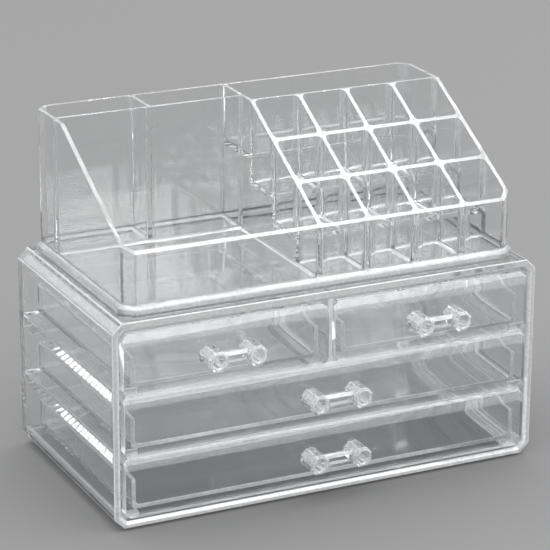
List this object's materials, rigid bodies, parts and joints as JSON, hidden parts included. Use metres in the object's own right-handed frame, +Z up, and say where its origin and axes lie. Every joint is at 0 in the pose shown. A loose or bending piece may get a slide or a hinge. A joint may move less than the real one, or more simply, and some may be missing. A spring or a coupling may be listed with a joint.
{
  "type": "desk organizer",
  "caption": "Clear plastic desk organizer: a low cabinet of pull-out drawers under a lift-off tray of stepped compartments.",
  "frame": {"origin": "on the surface the feet stand on, at the middle of the footprint from the handles to the back", "axes": "+Z up; +X to the right seen from the front; the drawers open towards -Y"},
  "size_m": [0.24, 0.1442, 0.188],
  "materials": {
    "cabinet_clear": "clear moulded styrene, polished",
    "drawer_clear": "clear moulded styrene, polished",
    "front_clear": "clear moulded styrene, polished",
    "handle_clear": "clear moulded styrene, faceted and polished",
    "tray_clear": "clear moulded styrene, polished",
    "foot_clear": "clear soft plastic, satin"
  },
  "bodies": {
    "cabinet": {"cabinet_sleeve": "cabinet_clear", "back_panel": "cabinet_clear", "feet": "foot_clear", "lower_shelf": "cabinet_clear", "upper_shelf": "cabinet_clear", "bottom_left_runner": "cabinet_clear", "bottom_right_runner": "cabinet_clear", "middle_left_runner": "cabinet_clear", "middle_right_runner": "cabinet_clear", "top_left_runner": "cabinet_clear", "top_right_runner": "cabinet_clear", "centre_divider": "cabinet_clear"},
    "tray": {"tray_shell": "tray_clear", "tray_floor": "tray_clear", "stepped_floor": "tray_clear", "grid_side_wall": "tray_clear", "column_divider_1": "tray_clear", "column_divider_2": "tray_clear", "column_divider_3": "tray_clear", "row_wall_1": "tray_clear", "row_wall_2": "tray_clear", "left_cross_wall": "tray_clear", "right_cross_wall": "tray_clear", "rear_divider": "tray_clear"},
    "bottom_drawer": {"bottom_tub": "drawer_clear", "bottom_front": "front_clear", "bottom_handle": "handle_clear"},
    "middle_drawer": {"middle_tub": "drawer_clear", "middle_front": "front_clear", "middle_handle": "handle_clear"},
    "left_small_drawer": {"left_small_tub": "drawer_clear", "left_small_front": "front_clear", "left_small_handle": "handle_clear"},
    "right_small_drawer": {"right_small_tub": "drawer_clear", "right_small_front": "front_clear", "right_small_handle": "handle_clear"}
  },
  "joints": [
    {"name": "bottom_drawer_slide", "type": "slide", "parent": "cabinet", "child": "bottom_drawer", "axis": [0, -1, 0], "range_m": [0, 0.105]},
    {"name": "middle_drawer_slide", "type": "slide", "parent": "cabinet", "child": "middle_drawer", "axis": [0, -1, 0], "range_m": [0, 0.105]},
    {"name": "left_small_drawer_slide", "type": "slide", "parent": "cabinet", "child": "left_small_drawer", "axis": [0, -1, 0], "range_m": [0, 0.105]},
    {"name": "right_small_drawer_slide", "type": "slide", "parent": "cabinet", "child": "right_small_drawer", "axis": [0, -1, 0], "range_m": [0, 0.105]},
    {"name": "tray_lift", "type": "slide", "parent": "cabinet", "child": "tray", "axis": [0, 0, 1], "range_m": [0, 0.08]}
  ]
}
